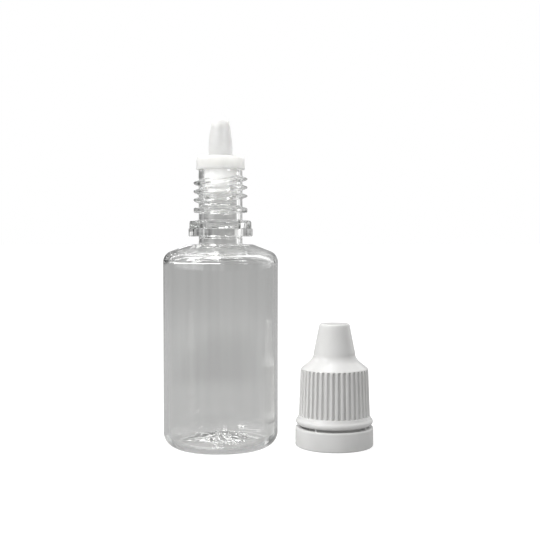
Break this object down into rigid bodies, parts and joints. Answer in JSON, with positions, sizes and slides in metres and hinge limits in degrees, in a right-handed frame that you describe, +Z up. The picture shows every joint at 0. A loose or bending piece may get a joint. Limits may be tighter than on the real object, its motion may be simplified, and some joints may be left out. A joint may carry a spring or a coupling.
{
  "type": "dropper bottle",
  "caption": "Small clear squeeze bottle with a press-in dropper plug, its ribbed screw cap and tamper ring standing beside it.",
  "frame": {"origin": "on the bottle's axis, in the plane of the surface that the bottle and the closure stand on", "axes": "+Z up along the bottle's axis to the nozzle, +X from the bottle to the closure, +Y to the back"},
  "size_m": [0.057, 0.031, 0.0883],
  "materials": {
    "clear_pet": "clear glossy PET",
    "natural_ldpe": "milky translucent LDPE, satin",
    "white_pp": "white polypropylene, semi-gloss"
  },
  "bodies": {
    "bottle_body": {"bottle": "clear_pet"},
    "plug_body": {"dropper_plug": "natural_ldpe"},
    "ring_body": {"tamper_ring": "white_pp"},
    "bridge_body": {"tamper_bridges": "white_pp"},
    "cap_body": {"cap": "white_pp"}
  },
  "joints": [
    {"name": "plug_pull", "type": "slide", "parent": "bottle_body", "child": "plug_body", "axis": [0, 0, 1], "range_m": [0, 0.015]},
    {"name": "cap_lift", "type": "slide", "parent": "bottle_body", "child": "ring_body", "axis": [0, 0, 1], "range_m": [0, 0.1]},
    {"name": "cap_rise", "type": "slide", "parent": "ring_body", "child": "bridge_body", "axis": [0, 0, 1], "range_m": [0, 0.0069]},
    {"name": "cap_turn", "type": "hinge", "parent": "bridge_body", "child": "cap_body", "pos_m": [0.0309, 0, 0], "axis": [0, 0, 1], "range_deg": [0, 1080]}
  ],
  "couplings": [
    {"joint": "cap_rise", "follows": "cap_turn", "m_per_rad": 0.00036606}
  ]
}
